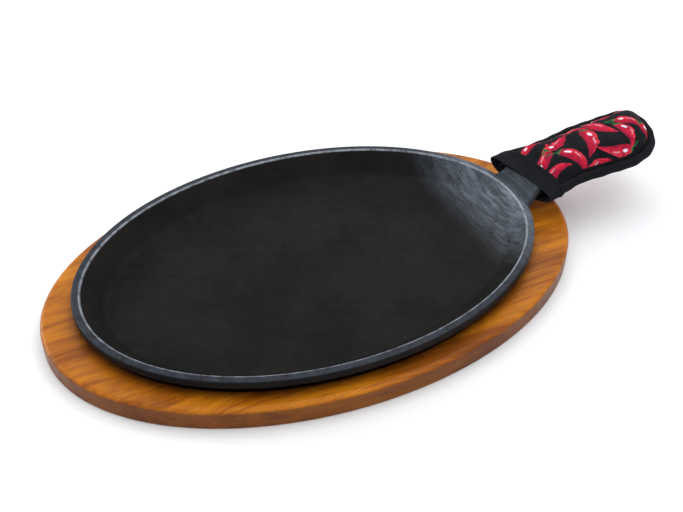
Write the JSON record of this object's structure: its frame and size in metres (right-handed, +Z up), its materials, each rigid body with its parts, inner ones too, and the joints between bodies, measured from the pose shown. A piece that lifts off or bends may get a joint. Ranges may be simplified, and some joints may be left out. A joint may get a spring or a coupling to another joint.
{
  "type": "cast iron skillet",
  "caption": "Oval cast iron serving skillet with a short flat handle, lying in a recessed oval wooden underliner, with a padded fabric mitt slipped over the handle.",
  "frame": {"origin": "centre of the wooden underliner's flat underside", "axes": "+X along the skillet's handle, +Y across, +Z up"},
  "size_m": [0.3668, 0.196, 0.045],
  "materials": {
    "stained_wood": "amber stained hardwood, satin, grain along the length",
    "seasoned_iron": "seasoned black cast iron, fine cast grain, worn brighter on the rim",
    "printed_cotton": null,
    "black_cotton": "plain black cotton tape and lining",
    "cotton_batting": "off-white cotton batting"
  },
  "bodies": {
    "underliner": {"wood_underliner": "stained_wood"},
    "skillet": {"cast_iron_skillet": "seasoned_iron"},
    "handle_mitt": {"mitt_top_cover": "printed_cotton", "mitt_bottom_cover": "printed_cotton", "mitt_top_batting": "cotton_batting", "mitt_bottom_batting": "cotton_batting", "mitt_top_lining": "black_cotton", "mitt_bottom_lining": "black_cotton", "mitt_edge_binding": "black_cotton", "mitt_mouth_hem": "black_cotton"}
  },
  "joints": [
    {"name": "skillet_lift", "type": "slide", "parent": "underliner", "child": "skillet", "axis": [0, 0, 1], "range_m": [0, 0.12]},
    {"name": "mitt_pull", "type": "slide", "parent": "skillet", "child": "handle_mitt", "axis": [0.995, 0, 0.1002], "range_m": [0, 0.12]}
  ]
}
